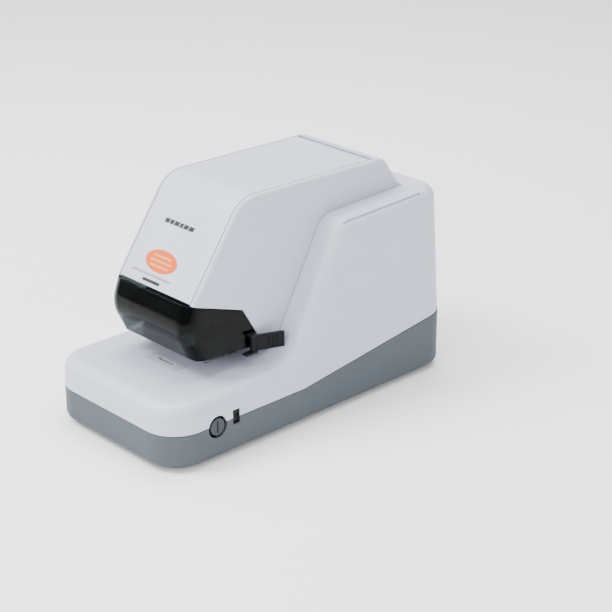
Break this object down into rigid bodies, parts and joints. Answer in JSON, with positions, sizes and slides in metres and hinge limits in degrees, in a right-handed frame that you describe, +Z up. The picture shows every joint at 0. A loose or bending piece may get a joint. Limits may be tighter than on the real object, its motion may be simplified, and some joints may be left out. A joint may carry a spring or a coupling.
{
  "type": "electric stapler",
  "caption": "Desktop electric stapler: long tray base and white housing with a low paper deck, a tall sloped head with a hinged cover, a smoked nose guard and a lift-out staple cassette.",
  "frame": {"origin": "on the table under the middle of the overall outline", "axes": "+Z up, -Y out of the paper mouth at the front, +X to the side with the dial and the switch"},
  "size_m": [0.15, 0.3, 0.1898],
  "materials": {
    "tray_grey": "fine matt texture",
    "zinc_steel": "zinc plated",
    "foot_rubber": "matt",
    "housing_white": "fine satin texture",
    "cover_white": "satin",
    "smoked_clear": "smoked clear plastic, glossy",
    "black_plastic": "matt",
    "lever_black": "semi gloss",
    "zinc_plate": "zinc plated sheet",
    "ground_steel": "ground",
    "bronze": "sintered",
    "motor_steel": "plated",
    "gear_nylon": "natural nylon",
    "nose_steel": "polished",
    "cassette_clear": "clear plastic",
    "cassette_cap": "clear grey",
    "staple_wire": "staple sheet",
    "spring_steel": "spring wire",
    "board_green": "circuit board",
    "capacitor_sleeve": "sleeve",
    "chip_black": "moulded"
  },
  "bodies": {
    "base": {"base_tray": "tray_grey", "tray_screws": "zinc_steel", "rubber_feet": "foot_rubber", "body_shell": "housing_white", "head_shell": "housing_white", "cover_hinge_pin": "housing_white", "chassis_plate": "zinc_plate", "side_frame_left": "zinc_plate", "side_frame_right": "zinc_plate", "pivot_shaft": "ground_steel", "crank_bushes": "bronze", "motor_can": "motor_steel", "idler_shaft": "ground_steel", "anvil_plate": "nose_steel", "clincher_block": "zinc_plate", "clincher_pins": "ground_steel", "anvil_screws": "zinc_steel", "sensor_bracket": "black_plastic", "sensor_pin": "ground_steel", "dial_bracket": "black_plastic", "stop_guides": "black_plastic", "switch_housing": "black_plastic", "control_board": "board_green", "board_bracket": "zinc_plate", "board_capacitors": "capacitor_sleeve", "board_chips": "chip_black", "power_inlet": "black_plastic", "inlet_post": "black_plastic", "return_spring": "spring_steel"},
    "cover": {"top_cover": "cover_white"},
    "carrier": {"magazine_carrier": "zinc_plate", "nose_block": "nose_steel"},
    "cassette": {"cassette_box": "cassette_clear", "staple_stack": "staple_wire", "pressure_plate": "black_plastic", "cassette_spring": "spring_steel", "cassette_grip": "cassette_cap"},
    "arm": {"drive_arm": "zinc_plate", "driver_blade": "ground_steel", "arm_pin": "ground_steel"},
    "crank": {"crank_shaft": "ground_steel", "main_gear": "gear_nylon"},
    "idler": {"idler_gear": "gear_nylon"},
    "rotor": {"motor_rotor": "ground_steel", "motor_pinion": "bronze"},
    "link": {"connecting_link": "ground_steel"},
    "guard": {"guard_visor": "smoked_clear", "guard_rails": "black_plastic", "lever_clevises": "black_plastic", "lever_pins": "zinc_steel"},
    "lever_left": {"lever_left": "lever_black"},
    "lever_right": {"lever_right": "lever_black"},
    "dial": {"depth_dial": "tray_grey"},
    "stop": {"depth_stop": "black_plastic"},
    "switch": {"switch_rocker": "lever_black"},
    "sensor": {"paper_sensor": "black_plastic"},
    "clincher_left": {"clincher_left": "ground_steel"},
    "clincher_right": {"clincher_right": "ground_steel"}
  },
  "joints": [
    {"name": "cover_hinge", "type": "hinge", "parent": "base", "child": "cover", "pos_m": [0, 0.086, 0.1824], "axis": [-1, 0, 0], "range_deg": [0, 65]},
    {"name": "carrier_pivot", "type": "hinge", "parent": "base", "child": "carrier", "pos_m": [0, 0.1, 0.084], "axis": [1, 0, 0], "range_deg": [0, 4.5], "stiffness_Nm_per_rad": 30, "springref_deg": -6.88, "deforming": ["return_spring"]},
    {"name": "cassette_lift", "type": "slide", "parent": "carrier", "child": "cassette", "axis": [0, 0, 1], "range_m": [0, 0.0302]},
    {"name": "drive_arm_pivot", "type": "hinge", "parent": "carrier", "child": "arm", "pos_m": [0, 0.1, 0.084], "axis": [1, 0, 0], "range_deg": [0, 2.4], "stiffness_Nm_per_rad": 30, "springref_deg": -5.73},
    {"name": "crank_spin", "type": "hinge", "parent": "base", "child": "crank", "pos_m": [0, 0.038, 0.038], "axis": [1, 0, 0], "continuous": true},
    {"name": "idler_spin", "type": "hinge", "parent": "base", "child": "idler", "pos_m": [0, 0.07495, 0.04], "axis": [1, 0, 0], "continuous": true},
    {"name": "rotor_spin", "type": "hinge", "parent": "base", "child": "rotor", "pos_m": [0, 0.10229, 0.03399], "axis": [1, 0, 0], "continuous": true},
    {"name": "link_swing", "type": "hinge", "parent": "crank", "child": "link", "pos_m": [0, 0.038, 0.0417], "axis": [1, 0, 0], "continuous": true},
    {"name": "guard_slide", "type": "slide", "parent": "base", "child": "guard", "axis": [0, -1, 0], "range_m": [0, 0.04]},
    {"name": "lever_left_pivot", "type": "hinge", "parent": "guard", "child": "lever_left", "pos_m": [-0.0497, -0.0462, 0.0745], "axis": [0, 0, -1], "range_deg": [0, 10], "stiffness_Nm_per_rad": 0.05, "springref_deg": -5.73},
    {"name": "lever_right_pivot", "type": "hinge", "parent": "guard", "child": "lever_right", "pos_m": [0.0497, -0.0462, 0.0745], "axis": [0, 0, 1], "range_deg": [0, 10], "stiffness_Nm_per_rad": 0.05, "springref_deg": -5.73},
    {"name": "dial_spin", "type": "hinge", "parent": "base", "child": "dial", "pos_m": [0, -0.1045, 0.029], "axis": [1, 0, 0], "range_deg": [0, 230]},
    {"name": "stop_slide", "type": "slide", "parent": "base", "child": "stop", "axis": [0, -1, 0], "range_m": [0, 0.024]},
    {"name": "switch_rock", "type": "hinge", "parent": "base", "child": "switch", "pos_m": [0.07, -0.086, 0.0315], "axis": [0, 1, 0], "range_deg": [0, 14]},
    {"name": "sensor_pivot", "type": "hinge", "parent": "base", "child": "sensor", "pos_m": [0, -0.06, 0.048], "axis": [-1, 0, 0], "range_deg": [0, 30], "stiffness_Nm_per_rad": 0.004, "springref_deg": -11.46},
    {"name": "clincher_left_pivot", "type": "hinge", "parent": "base", "child": "clincher_left", "pos_m": [-0.0086, -0.092, 0.0476], "axis": [0, -1, 0], "range_deg": [0, 14]},
    {"name": "clincher_right_pivot", "type": "hinge", "parent": "base", "child": "clincher_right", "pos_m": [0.0086, -0.092, 0.0476], "axis": [0, 1, 0], "range_deg": [0, 14]}
  ],
  "couplings": [
    {"joint": "cassette_lift", "follows": "cover_hinge", "m_per_rad": 0.0265},
    {"joint": "idler_spin", "follows": "crank_spin", "ratio": -4.2857},
    {"joint": "rotor_spin", "follows": "crank_spin", "ratio": 15.714},
    {"joint": "link_swing", "follows": "crank_spin", "ratio": -1},
    {"joint": "dial_spin", "follows": "stop_slide", "rad_per_m": 166.67},
    {"joint": "clincher_left_pivot", "follows": "clincher_right_pivot", "ratio": 1}
  ]
}
